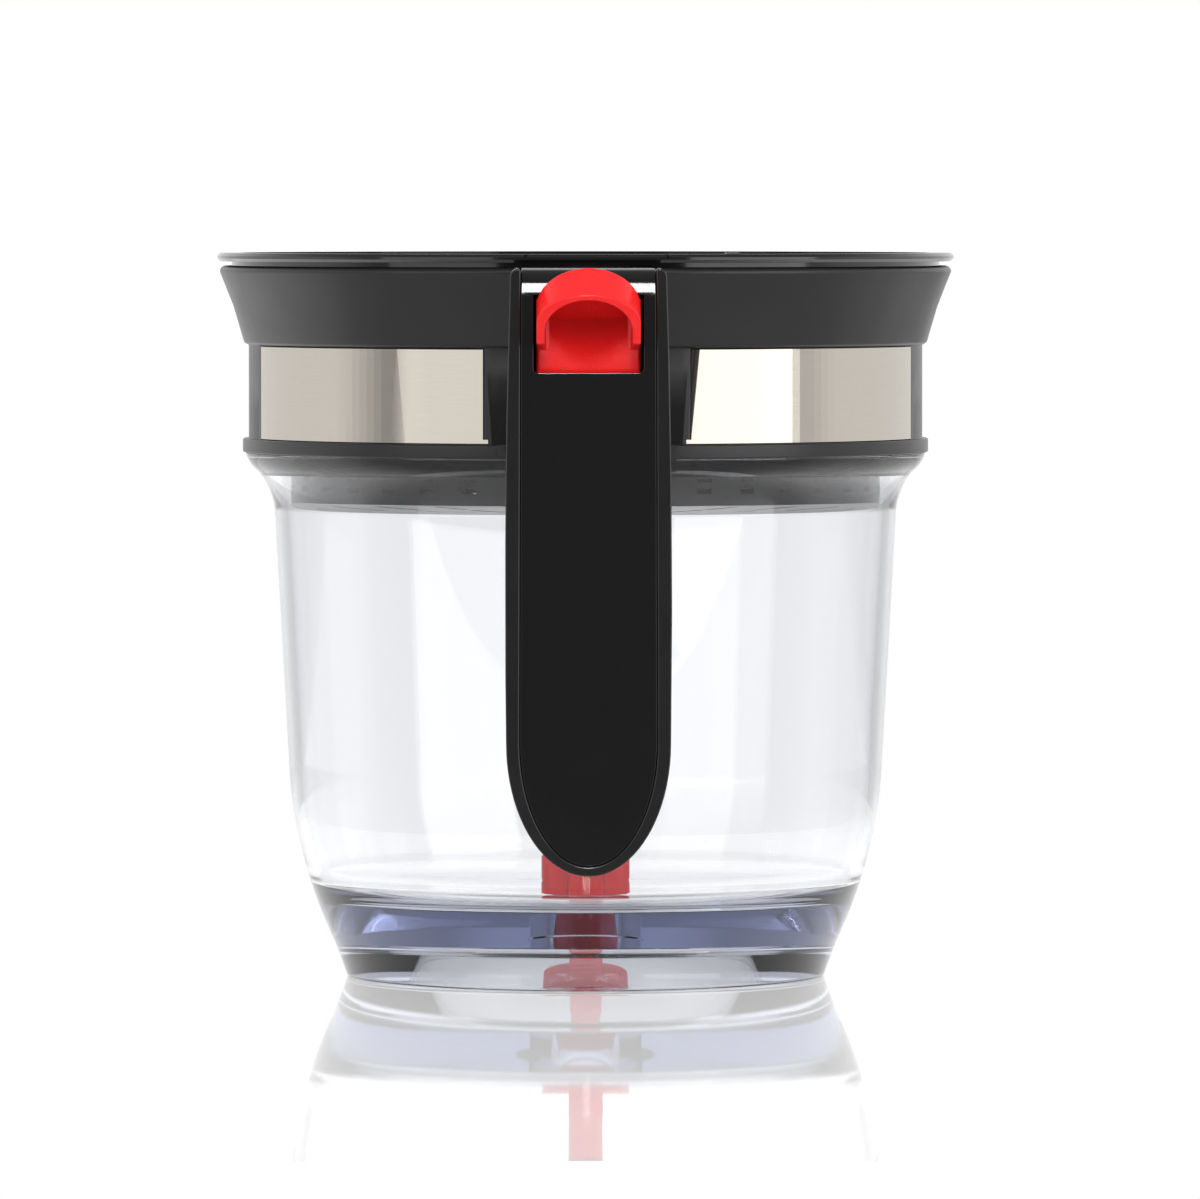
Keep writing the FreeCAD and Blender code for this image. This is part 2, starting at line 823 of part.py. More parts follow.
def make_trigger():
    half = scoop_width / 2
    crown_y = front - scoop_proud
    way = Vector(0, -scoop_length, -scoop_fall)
    hood = arch(half, scoop_arch, (crown_y, scoop_crown), way)
    web_top = collar_top - opening_top_drop - scoop_proud
    rear_y = insert_back + scoop_back
    rear = block((-half, half), (crown_y, rear_y + past), (opening_bottom - scoop_skirt, web_top))
    rim_y = crown_y - scoop_length
    rim_z = scoop_crown - scoop_fall
    below = [(front + y, opening_bottom + z) for y, z in scoop_lip + scoop_heel]
    trim = outline(
        from_side,
        (crown_y, scoop_crown + past),
        (rim_y - past, scoop_crown + past),
        (rim_y - past, rim_z),
        (rim_y, rim_z),
        *below,
        (rear_y, web_top),
        (rear_y, scoop_crown + past),
    )
    scoop = hood.fuse(rear).common(prism(trim, Vector(1, 0, 0), half + past))
    scoop = scoop.cut(finger_hollow())

    half_lever = lever_width / 2
    web = block(
        (-half_lever, half_lever),
        (rear_y - scoop_wall, pivot_y),
        (lever_bottom(), web_top - past),
    )
    barrel = rod_along("x", (pivot_y, pivot_z), barrel_radius, -barrel_width / 2, barrel_width / 2)
    half_toe = lever_thickness / 2
    lean = valve_travel / 2 / toe_arm
    bar_end = -toe_reach
    bar = outline(
        from_side,
        (pivot_y, pivot_z + half_toe),
        (pivot_y, pivot_z - half_toe),
        (bar_end, toe_z - half_toe),
        (bar_end + half_toe * lean, toe_z + half_toe, half_toe),
    )
    toe = prism(bar, Vector(1, 0, 0), half_lever)
    body = scoop.fuse([web, barrel, toe])
    bore = rod_along("x", (pivot_y, pivot_z), pin_radius + pin_fit, -barrel_width, barrel_width)
    return body.cut(bore).removeSplitter()


def lid_notch():
    """Room in the lid for the trigger's toe, open below so that the lid lifts straight off."""
    reach = pivot_reach - seat_inner_radius
    swing = reach * math.sin(half_travel) + lever_thickness / 2 + slot_gap
    return block(
        (-toe_notch_width / 2, toe_notch_width / 2),
        (-lid_radius - past, -strainer_radius - strainer_flange),
        (seat_bottom, pivot_z + swing),
    )


def make_lid_ring():
    inner = strainer_radius + strainer_fit
    floor_radius = flare_inner_radius(lid_floor_bottom) - lid_side_gap
    neck_mouth = flare_inner_radius(collar_top) - lid_side_gap
    floor_inside = flare_inner_radius(lid_floor_top) - lid_side_gap - lid_wall
    profile = section(
        (inner, lid_floor_bottom),
        (floor_radius, lid_floor_bottom),
        (neck_mouth, collar_top, -flare_hollow),
        (neck_mouth, lid_bottom),
        (lid_radius - lid_edge, lid_bottom),
        (lid_radius, lid_bottom + lid_edge, quarter(lid_edge)),
        (lid_radius, lid_top - lid_edge),
        (lid_radius - lid_edge, lid_top, quarter(lid_edge)),
        (neck_mouth - lid_wall, lid_top),
        (neck_mouth - lid_wall, collar_top),
        (floor_inside, lid_floor_top, flare_hollow),
        (inner, lid_floor_top),
    )
    body = turned(profile)
    groove_outer = floor_radius - lid_wall / 4
    groove = ring(
        groove_outer - lid_gasket_width,
        groove_outer,
        lid_floor_bottom - past,
        lid_floor_bottom + lid_gasket_depth,
    )
    cuts = [groove, lid_notch()]
    mark_turn = math.degrees(lid_mark_spacing / 2 / lid_radius)
    half = lid_mark_width / 2
    for side in (-1, 1):
        mark = block(
            (-half, half),
            (-lid_radius - past, -lid_radius + lid_mark_length),
            (lid_top - lid_mark_depth, lid_top + past),
        )
        mark.rotate(Vector(0, 0, 0), Vector(0, 0, 1), lid_mark_turn_deg + side * mark_turn)
        cuts.append(mark)
    long, wide, high = lid_pip
    pip_reach = -lid_radius + lid_edge
    pip = block((-long / 2, long / 2), (pip_reach, pip_reach + wide), (lid_top - high, lid_top + high))
    pip.rotate(Vector(0, 0, 0), Vector(0, 0, 1), lid_pip_turn_deg)
    return body.fuse(pip).cut(cuts)


def make_lid_gasket():
    outer = flare_inner_radius(lid_floor_bottom) - lid_side_gap - lid_wall / 4
    body = ring(
        outer - lid_gasket_width,
        outer,
        seat_top + lid_gasket_gap,
        lid_floor_bottom + lid_gasket_depth,
    )
    return body.cut(lid_notch())


def make_strainer():
    inner = strainer_radius - strainer_wall
    top = lid_floor_top + strainer_snap_height
    profile = section(
        (hub_radius - hub_wall, plate_top),
        (rod_radius + guide_fit, plate_top),
        (rod_radius + guide_fit, strainer_bottom - guide_length),
        (rod_radius + guide_wall, strainer_bottom - guide_length),
        (rod_radius + guide_wall, strainer_bottom),
        (strainer_radius, strainer_bottom),
        (strainer_radius, lid_floor_bottom - strainer_plate),
        (strainer_radius + strainer_flange, lid_floor_bottom - strainer_plate),
        (strainer_radius + strainer_flange, lid_floor_bottom),
        (strainer_radius, lid_floor_bottom),
        (strainer_radius, top),
        (inner, top),
        (inner, plate_top),
        (hub_radius, plate_top),
        (hub_radius, hub_top),
        (hub_radius - hub_wall, hub_top),
    )
    body = turned(profile)
    snaps = []
    for index in range(strainer_snaps):
        snap = outline(
            from_front,
            (-strainer_snap_width / 2, lid_floor_top),
            (strainer_snap_width / 2, lid_floor_top),
            (strainer_snap_width / 2, top),
            (-strainer_snap_width / 2, top),
        )
        start = Vector(0, strainer_wall / 2 - strainer_radius, 0)
        tooth = snap.translated(start).extrude(Vector(0, -strainer_wall / 2 - strainer_snap, 0))
        tooth.rotate(Vector(0, 0, 0), Vector(0, 0, 1), 360 * (index + 0.5) / strainer_snaps)
        snaps.append(tooth)
    body = body.fuse(snaps)
    cuts = []
    half = plate_slot_width / 2
    for start, end, count in plate_slot_rings:
        for index in range(count):
            slot = block((start, end), (-half, half), (strainer_bottom - past, plate_top + past))
            slot.rotate(Vector(0, 0, 0), Vector(0, 0, 1), 360 * (index + 0.5) / count)
            cuts.append(slot)
    half = window_width / 2
    for lift, height in window_rows:
        low = plate_top + lift
        for index in range(window_count):
            window = block((inner - past, strainer_radius + past), (-half, half), (low, low + height))
            window.rotate(Vector(0, 0, 0), Vector(0, 0, 1), 360 * (index + 0.5) / window_count)
            cuts.append(window)
    return body.cut(cuts)


def make_hub_cap():
    outer = hub_radius + cap_wall
    profile = section(
        (rod_radius + guide_fit, hub_top),
        (hub_radius, hub_top),
        (hub_radius, hub_top - cap_skirt),
        (outer, hub_top - cap_skirt),
        (outer, hub_top + cap_thickness - cap_round),
        (outer - cap_round, hub_top + cap_thickness, quarter(cap_round)),
        (rod_radius + guide_fit, hub_top + cap_thickness),
    )
    return turned(profile)


def rod_collar_top():
    return plate_top + rod_collar_lift + rod_collar_height


def make_valve_spring():
    bottom = rod_collar_top()
    return coil(valve_spring_radius, valve_spring_wire, valve_spring_turns, bottom, hub_top, (0, 0))


def make_lifter_arm():
    half = arm_width / 2
    tip = -toe_reach - arm_overhang
    bar = block((-half, half), (tip, 0), (arm_bottom, arm_top))
    boss = ring(0, arm_boss_radius, arm_bottom, arm_top + arm_rib_height)
    half_rib = arm_rib_width / 2
    rib_end = tip + 3 * arm_width
    rib = block((-half_rib, half_rib), (rib_end, 0), (arm_top - past, arm_top + arm_rib_height))
    body = bar.fuse([boss, rib])
    return body.cut(ring(0, rod_radius, arm_bottom - past, arm_top)).removeSplitter()


def make_pull_rod():
    stem = ring(0, rod_radius, plug_top, arm_top)
    collar = ring(0, rod_collar_radius, rod_collar_top() - rod_collar_height, rod_collar_top())
    leg_inner = plug_radius + leg_gap
    leg_outer = leg_inner + leg_thickness
    half = leg_width / 2
    yoke = block((-half, half), (-leg_outer, leg_outer), (plug_top, plug_top + yoke_height))
    legs = []
    for side in (-1, 1):
        near, far = sorted((side * leg_inner, side * leg_outer))
        legs.append(block((-half, half), (near, far), (plug_bottom, plug_top + past)))
        near, far = sorted((side * (leg_inner - leg_gap - hook_depth), side * (leg_inner + past)))
        low = (plug_bottom + plug_top - hook_height) / 2
        legs.append(block((-half, half), (near, far), (low, low + hook_height)))
    return stem.fuse([collar, yoke] + legs).removeSplitter()


def make_valve_plug():
    profile = section(
        (0, plug_bottom - plug_nose_length),
        (plug_nose_tip_radius, plug_bottom - plug_nose_length),
        (plug_nose_radius, plug_bottom),
        (plug_radius - plug_edge, plug_bottom),
        (plug_radius, plug_bottom + plug_edge, quarter(plug_edge)),
        (plug_radius, plug_top),
        (0, plug_top),
    )
    body = turned(profile)
    half = leg_width / 2 + hook_fit
    low = (plug_bottom + plug_top - hook_height) / 2 - hook_fit
    pockets = []
    for side in (-1, 1):
        near, far = sorted((side * (plug_radius - hook_depth - hook_fit), side * (plug_radius + past)))
        pockets.append(block((-half, half), (near, far), (low, low + hook_height + 2 * hook_fit)))
    return body.cut(pockets)


nodes = {
    "cup": make_cup(),
    "collar": make_collar(),
    "collar_gasket": make_collar_gasket(),
    "handle_frame": make_handle_frame(),
    "handle_panel": make_handle_panel(),
    "handle_screws": make_handle_screws(),
    "trigger_pin": make_trigger_pin(),
    "trigger_spring": make_trigger_spring(),
    "trigger": make_trigger(),
    "lid_ring": make_lid_ring(),
    "lid_gasket": make_lid_gasket(),
    "strainer": make_strainer(),
    "hub_cap": make_hub_cap(),
    "valve_spring": make_valve_spring(),
    "lifter_arm": make_lifter_arm(),
    "pull_rod": make_pull_rod(),
    "valve_plug": make_valve_plug(),
}
nodes.update(make_panels())

os.makedirs("parts", exist_ok=True)
for name, shape in nodes.items():
    shape.exportStep(os.path.join("parts", name + ".step"))
    print(name, len(shape.Solids), shape.isValid(), round(shape.Volume, 1))
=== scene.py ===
import math

import bmesh
import bpy
import numpy as np
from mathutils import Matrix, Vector


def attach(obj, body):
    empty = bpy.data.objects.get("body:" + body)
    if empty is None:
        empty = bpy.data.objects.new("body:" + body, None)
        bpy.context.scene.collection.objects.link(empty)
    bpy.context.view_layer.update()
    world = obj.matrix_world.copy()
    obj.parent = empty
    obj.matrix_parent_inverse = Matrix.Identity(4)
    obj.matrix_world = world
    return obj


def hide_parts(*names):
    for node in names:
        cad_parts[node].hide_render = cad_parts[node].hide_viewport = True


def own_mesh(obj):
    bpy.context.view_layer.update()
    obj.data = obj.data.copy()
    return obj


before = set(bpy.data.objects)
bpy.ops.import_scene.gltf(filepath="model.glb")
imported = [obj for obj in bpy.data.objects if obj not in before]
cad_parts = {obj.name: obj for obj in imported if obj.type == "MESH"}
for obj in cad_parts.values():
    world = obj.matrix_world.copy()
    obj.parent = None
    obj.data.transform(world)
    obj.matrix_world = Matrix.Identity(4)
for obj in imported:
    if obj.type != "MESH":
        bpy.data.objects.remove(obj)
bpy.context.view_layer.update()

# The cup is one thick clear moulding, polished inside and out: a foot ring, a floor with a drip
# spout under it, a bellied wall, a rounded shoulder, and a neck that stands inside the collar.
# Pairs are (radius, height) on its outer section.
foot_radius = 0.0489
foot_width = 0.0046
foot_height = 0.0072
foot_edge = 0.0008
heel_radius = 0.0513
floor_bottom = 0.0102
floor_top = 0.0165
floor_fillet = 0.005
floor_radius = 0.05436
drain_radius = 0.0074
spout_radius = 0.0093
spout_bottom = 0.006
belly = (0.0605, 0.044)
belly_bulge = 0.00195
inner_bulge = 0.0009
shoulder = (0.0633, 0.0949)
shoulder_hollow = 0.0007
turn = (0.06672, 0.10299)
ledge = (0.0693, 0.1068)
ledge_round = 0.0004
neck_radius = 0.0662
neck_top = 0.126
neck_wall = 0.0024
cup_wall = 0.0026
cup_turns = 256
cup_edge_round = 0.0003


def arc(start, end, bulge, count=14):
    """Points after start, up to end, of the circle that stands off the chord by the bulge, to the
    right of the way: centre + turn(t) (start - centre), with radius (chord^2 / 4 + b^2) / 2 b."""
    start, end = np.array(start), np.array(end)
    run = end - start
    chord = np.hypot(*run)
    depth = abs(bulge)
    radius = (chord**2 / 4 + depth**2) / (2 * depth)
    right = np.sign(bulge) * np.array([run[1], -run[0]]) / chord
    centre = (start + end) / 2 + right * (depth - radius)
    sweep = np.sign(bulge) * 2 * math.asin(chord / 2 / radius)
    t = sweep * np.linspace(0, 1, count + 1)[1:, None]
    from_centre = start - centre
    across = np.array([-from_centre[1], from_centre[0]])
    return centre + np.cos(t) * from_centre + np.sin(t) * across


def section(start, *steps):
    """Rows (r, z) of an outline. A step is a corner (r, z), or (r, z, bulge) for an arc there."""
    rows = [np.array([start])]
    for step in steps:
        here = rows[-1][-1]
        there = arc(here, step[:2], step[2]) if len(step) == 3 else np.array([step])
        rows.append(there)
    return np.concatenate(rows)


def quarter(radius):
    """How far a quarter circle stands off its chord: r (1 - cos 45)."""
    return radius * (1 - math.cos(math.pi / 4))


def turned(rows, turns):
    """The grid (r cos a, r sin a, z) over all angles a and the rows (r, z) of a section."""
    angle = np.linspace(0, 2 * math.pi, turns, endpoint=False)[:, None]
    radius, height = rows[:, 0], rows[:, 1]
    grid = [np.cos(angle) * radius, np.sin(angle) * radius, height + 0 * angle]
    return np.stack(grid, axis=-1)


def quads(rows, columns):
    """Faces (i, j), (i + 1, j), (i + 1, j + 1), (i, j + 1) of a grid closed both ways."""
    i = np.arange(rows)[:, None]
    j = np.arange(columns)[None, :]
    here, after = i * columns, (i + 1) % rows * columns
    after_j = (j + 1) % columns
    corners = [here + j, after + j, after + after_j, here + after_j]
    return np.stack(corners, axis=-1).reshape(-1, 4)


def join_doubles(mesh, flat_angle=0.0):
    """Merges points that coincide, drops faces of no area, and makes flat faces whole."""
    work = bmesh.new()
    work.from_mesh(mesh)
    bmesh.ops.remove_doubles(work, verts=work.verts, dist=2e-6)
    bmesh.ops.dissolve_degenerate(work, edges=work.edges, dist=1e-7)
    if flat_angle:
        bmesh.ops.dissolve_limit(work, angle_limit=flat_angle, verts=work.verts, edges=work.edges)
    work.to_mesh(mesh)
    work.free()


def piece(name, mesh, body, finish, stands_for):
    """An object of the mesh, smooth all over, that rides on a body in place of a CAD node."""
    made = bpy.data.objects.new(name, mesh)
    bpy.context.scene.collection.objects.link(made)
    mesh.shade_smooth()
    mesh.materials.clear()
    mesh.materials.append(finish)
    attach(made, body)
    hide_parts(stands_for)
    return made


def grid_mesh(name, grid):
    """A mesh of one grid of points, closed both ways."""
    rows, columns = grid.shape[:2]
    mesh = bpy.data.meshes.new(name)
    mesh.from_pydata(grid.reshape(-1, 3).tolist(), [], quads(rows, columns).tolist())
    join_doubles(mesh)
    return mesh


def chains(edges, most_turn_deg=40):
    """Groups of edges that run on into each other, turning less than an angle at each point."""
    left, groups = set(edges), []
    while left:
        group, todo = [], [left.pop()]
        while todo:
            edge = todo.pop()
            group.append(edge)
            for vert in edge.verts:
                others = [other for other in vert.link_edges if other in left]
                if len(others) == 1:
                    way = vert.co - edge.other_vert(vert).co
                    onward = others[0].other_vert(vert).co - vert.co
                    if way.angle(onward, 0.0) < math.radians(most_turn_deg):
                        left.discard(others[0])
                        todo.append(others[0])
        groups.append(group)
    return groups


def ease(made, width, segments=2, angle_deg=30):
    """Rounds the outer edges sharper than an angle, as far as the faces beside a run of edges have
    room: weight = min(1, room / width), where room = 0.45 or 0.8 of the shortest edge beside it."""
    shared_part, free_part = 0.45, 0.8
    least_room = 0.00012
    least_length = 1e-5
    lone_edges = 2
    work = bmesh.new()
    work.from_mesh(made.data)
    weight = work.edges.layers.float.new("bevel_weight_edge")
    sharp = {
        edge
        for edge in work.edges
        if len(edge.link_faces) == 2 and edge.calc_face_angle_signed() > math.radians(angle_deg)
    }
    corners = {vert for edge in sharp for vert in edge.verts}
    room = {}
    for vert in corners:
        beside = [edge for edge in vert.link_edges if edge not in sharp]
        spans = [
            edge.calc_length() * (shared_part if edge.other_vert(vert) in corners else free_part)
            for edge in beside
        ]
        room[vert] = min(spans, default=width)
    wide = {edge for edge in sharp if min(room[vert] for vert in edge.verts) > least_room}
    for group in chains(wide):
        share = min(room[vert] for edge in group for vert in edge.verts) / width
        if len(group) <= lone_edges:
            shortest = min(edge.calc_length() for edge in group)
            share = min(share, shared_part * max(shortest, least_length) / width)
        for edge in group:
            edge[weight] = min(1.0, share)
    work.to_mesh(made.data)
    work.free()
    bevel = made.modifiers.new("eased_edges", "BEVEL")
    bevel.width = width
    bevel.segments = segments
    bevel.limit_method = "WEIGHT"
    bevel.use_clamp_overlap = False
    bevel.miter_outer = "MITER_ARC"
    weighted = made.modifiers.new("flat_faces", "WEIGHTED_NORMAL")
    weighted.weight = 80


class Wire:
    """An output of a material's node. Sums, differences and products of wires and numbers add
    the Math nodes that work them out."""

    def __init__(self, tree, socket):
        self.tree = tree
        self.socket = socket

    def math(self, operation, *values):
        return add_node(self.tree, "ShaderNodeMath", {"operation": operation}, *values)

    def __add__(self, other):
        return self.math("ADD", self, other)

    __radd__ = __add__

    def __sub__(self, other):
        return self.math("SUBTRACT", self, other)

    def __rsub__(self, other):
        return self.math("SUBTRACT", other, self)

    def __mul__(self, other):
        return self.math("MULTIPLY", self, other)

    __rmul__ = __mul__


def add_node(tree, kind, settings=None, *values, output=0, **named):
    """A node of a kind: its settings first, then the values or wires of its sockets, in order or
    by name with _ for a space."""
    node = tree.nodes.new(kind)
    for key, value in (settings or {}).items():
        setattr(node, key, value)
    sockets = dict(enumerate(values))
    sockets.update({key.replace("_", " "): value for key, value in named.items()})
    for key, value in sockets.items():
        if isinstance(value, Wire):
            tree.links.new(value.socket, node.inputs[key])
        else:
            node.inputs[key].default_value = value
    return Wire(tree, node.outputs[output])


def new_finish(name, **sockets):
    """A material with one Principled shader and constant values on its sockets."""
    material = bpy.data.materials.new(name)
    material.use_nodes = True
    shader = material.node_tree.nodes["Principled BSDF"]
    for key, value in sockets.items():
        shader.inputs[key.replace("_", " ")].default_value = value
    return material, material.node_tree, shader


def feed(tree, shader, **wires):
    """Links wires to the shader's sockets by name."""
    for key, wire in wires.items():
        tree.links.new(wire.socket, shader.inputs[key.replace("_", " ")])


def place(tree):
    """Object coordinates of the surface."""
    return add_node(tree, "ShaderNodeTexCoord", output=3)


def noise(tree, vector, scale, detail):
    """Fractal noise n between 0 and 1, with so many features in a metre."""
    return add_node(tree, "ShaderNodeTexNoise", {}, Vector=vector, Scale=scale, Detail=detail)


def bump(tree, height, strength, distance):
    """The normal tilted as if the surface rose by height times distance, in metres."""
    return add_node(
        tree, "ShaderNodeBump", {}, Strength=strength, Distance=distance, Height=height
    )


clear_plastic, tree, shader = new_finish(
    "clear_plastic",
    Base_Color=(1.0, 1.0, 1.0, 1),
    Roughness=0.02,
    IOR=1.57,
    Transmission_Weight=1.0,
)
flow = noise(tree, place(tree), 45.0, 2.0)
feed(tree, shader, Normal=bump(tree, flow, 0.02, 0.0004))
depth = tree.nodes.new("ShaderNodeVolumeAbsorption")
depth.inputs["Color"].default_value = (0.125, 0.2, 0.475, 1)
depth.inputs["Density"].default_value = 20.0
tree.links.new(depth.outputs[0], tree.nodes["Material Output"].inputs["Volume"])

foot_inside = foot_radius - foot_width
foot_round = foot_width / 2
cup_rows = section(
    (foot_inside, 0.0),
    (foot_radius - foot_edge, 0.0),
    (foot_radius, foot_edge, quarter(foot_edge)),
    (heel_radius, foot_height),
    (*belly, belly_bulge),
    shoulder,
    (*turn, -shoulder_hollow),
    (*ledge, ledge_round),
    (neck_radius, ledge[1]),
    (neck_radius, neck_top),
    (neck_radius - neck_wall, neck_top),
    (neck_radius - neck_wall, turn[1] + cup_wall / 2),
    (shoulder[0] - cup_wall, shoulder[1] + cup_wall / 2, shoulder_hollow),
    (belly[0] - cup_wall, belly[1]),
    (floor_radius, floor_top + floor_fillet, -inner_bulge),
    (floor_radius - floor_fillet, floor_top, -quarter(floor_fillet)),
    (drain_radius, floor_top),
    (drain_radius, spout_bottom),
    (spout_radius, spout_bottom),
    (spout_radius, floor_bottom),
    (foot_inside - foot_width, floor_bottom),
    (foot_inside - foot_round, floor_bottom - foot_round, quarter(foot_round)),
)
cup_mesh = grid_mesh("clear_cup", turned(cup_rows, cup_turns))
cup = piece("clear_cup", cup_mesh, "jug", clear_plastic, "cup")
ease(cup, cup_edge_round)

# The collar is a satin black moulding that clamps on the cup's ledge: a flange, a band that
# holds the steel, and a flared mouth. Its surface has the fine grain of a spark-eroded mould.
collar_edge_round = 0.0003
collar_tone = (0.010, 0.010, 0.0102, 1)


def grained(name, tone, roughness, grain, depth):
    """Moulded plastic: roughness = r + 0.10 (c - 0.5) + 0.06 (n - 0.5), with n a fine noise that
    also feeds a bump, and c a cloudy one 40 times as coarse."""
    material, tree, shader = new_finish(name, Base_Color=tone, Roughness=roughness)
    fine = noise(tree, place(tree), grain, 3.0)
    cloud = noise(tree, place(tree), grain / 40, 2.0)
    rough = roughness + 0.10 * (cloud - 0.5) + 0.06 * (fine - 0.5)
    feed(tree, shader, Normal=bump(tree, fine, 0.25, depth), Roughness=rough)
    return material


def dressed(node, name, body, finish, width, segments=2, angle_deg=30):
    """A CAD node's own solid with its triangles joined, its flats made whole and edges eased."""
    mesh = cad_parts[node].data.copy()
    mesh.name = name
    join_doubles(mesh, flat_angle=math.radians(0.5))
    made = piece(name, mesh, body, finish, node)
    ease(made, width, segments, angle_deg)


satin_black = grained("satin_black", collar_tone, 0.32, 4200.0, 0.00003)
dressed("collar", "collar_moulding", "jug", satin_black, collar_edge_round)

# Four satin steel panels lie flush in the band, brushed along their length by a belt.
# Each is bent sheet, bonded into its recess, with a small tab at its end near the handle.
steel_light = (0.62, 0.58, 0.52, 1)
steel_dark = (0.55, 0.51, 0.45, 1)
lines_round = 9.0
lines_high = 5200.0


def crisp(node, name, body, finish, angle_deg=30):
    """A CAD node's own solid with its triangles joined, smooth up to the edges over an angle."""
    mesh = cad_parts[node].data.copy()
    mesh.name = name
    join_doubles(mesh)
    made = piece(name, mesh, body, finish, node)
    mesh.set_sharp_from_angle(angle=math.radians(angle_deg))
    return made


def axes(tree, vector):
    """The X, Y and Z wires of a vector."""
    split = tree.nodes.new("ShaderNodeSeparateXYZ")
    tree.links.new(vector.socket, split.inputs[0])
    return [Wire(tree, output) for output in split.outputs]


def blend(tree, factor, first, second):
    """The colour first (1 - f) + second f."""
    settings = {"data_type": "RGBA"}
    return add_node(
        tree, "ShaderNodeMix", settings, output=2, Factor=factor, A=first, B=second
    )


steel, tree, shader = new_finish("satin_steel", Metallic=1.0, Roughness=0.3)
x, y, z = axes(tree, place(tree))
bearing = x.math("ARCTAN2", y, x)
along = add_node(
    tree, "ShaderNodeCombineXYZ", {}, bearing * lines_round, 0.0, z * lines_high
)
lines = add_node(
    tree, "ShaderNodeTexNoise", {}, Vector=along, Scale=1.0, Detail=4.0, Roughness=0.6
)
feed(
    tree,
    shader,
    Base_Color=blend(tree, lines, steel_dark, steel_light),
    Normal=bump(tree, lines, 0.12, 0.00002),
    Roughness=0.11 + 0.06 * lines,
)
for side in ("left", "right", "front_left", "front_right"):
    panel = "steel_panel_" + side
    crisp(panel, panel + "_plate", "jug", steel)

# Two milky translucent silicone seals: one ring between neck and collar, one under the lid.
# Both keep the CAD's own mesh.
milky, tree, shader = new_finish(
    "milky_silicone", Base_Color=(0.72, 0.72, 0.7, 1), Roughness=0.45, Subsurface_Weight=0.2
)
haze = noise(tree, place(tree), 900.0, 2.0)
feed(tree, shader, Roughness=0.4 + 0.1 * haze)
for node in ("collar_gasket", "lid_gasket"):
    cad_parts[node].data.materials.clear()
    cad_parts[node].data.materials.append(milky)

# The handle is an open channel moulded in satin black, closed from the front by an insert that
# wraps over its top. Both have a finer grain than the collar, worn a little smoother.
channel_edge_round = 0.001
insert_edge_round = 0.00015
channel_tone = (0.009, 0.009, 0.0092, 1)
insert_tone = (0.007, 0.007, 0.0072, 1)
handle_black = grained("handle_black", channel_tone, 0.24, 5200.0, 0.00002)
insert_black = grained("insert_black", insert_tone, 0.15, 5200.0, 0.00001)
dressed(
    "handle_frame", "handle_channel", "jug", handle_black, channel_edge_round, 5, 25
)
dressed(
    "handle_panel", "handle_insert", "jug", insert_black, insert_edge_round, 2, 25
)

# Bright steel fastenings: two screws through the collar, and the pin that the trigger turns on.
# Both keep the CAD's own mesh.
bright, tree, shader = new_finish(
    "bright_steel", Base_Color=(0.6, 0.6, 0.6, 1), Metallic=1.0, Roughness=0.25
)
swirl = noise(tree, place(tree), 2500.0, 2.0)
feed(tree, shader, Roughness=0.18 + 0.15 * swirl)
for node in ("handle_screws", "trigger_pin"):
    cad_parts[node].data.materials.clear()
    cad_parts[node].data.materials.append(bright)

# The trigger's spring stands in its well, and the tilting lever presses it up to 1.9 mm shorter.
# The valve's spring hangs from the hub cap, and the rod's collar presses it 5 mm shorter.
trigger_coil = crisp("trigger_spring", "trigger_coil", "jug", bright)
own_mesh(trigger_coil)
valve_coil = crisp("valve_spring", "valve_coil", "lid", bright)
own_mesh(valve_coil)

# The trigger: a red moulding with an arched hood, a round hollow for the fingertip below it,
# and a lever inside the handle that ends in a toe under the lifter arm.
trigger_edge_round = 0.0006
red_deep = (0.77, 0.011, 0.012, 1)
red_bright = (0.86, 0.015, 0.016, 1)
trigger_red, tree, shader = new_finish(
    "trigger_red",
    Base_Color=(0.8, 0.013, 0.014, 1),
    Roughness=0.3,
    Specular_IOR_Level=0.3,
)
speck = noise(tree, place(tree), 3800.0, 3.0)
feed(
    tree,
    shader,
    Base_Color=blend(tree, speck, red_deep, red_bright),
    Normal=bump(tree, speck, 0.25, 0.00003),
    Roughness=0.22 + 0.08 * speck,
)
dressed(
    "trigger", "trigger_moulding", "trigger", trigger_red, trigger_edge_round, 4, 25
)

# The lid is a polished black ring whose rim lies over the mouth. The strainer, in a duller black
# that shines less, is snapped below it, and a polished cap closes the strainer's hub.


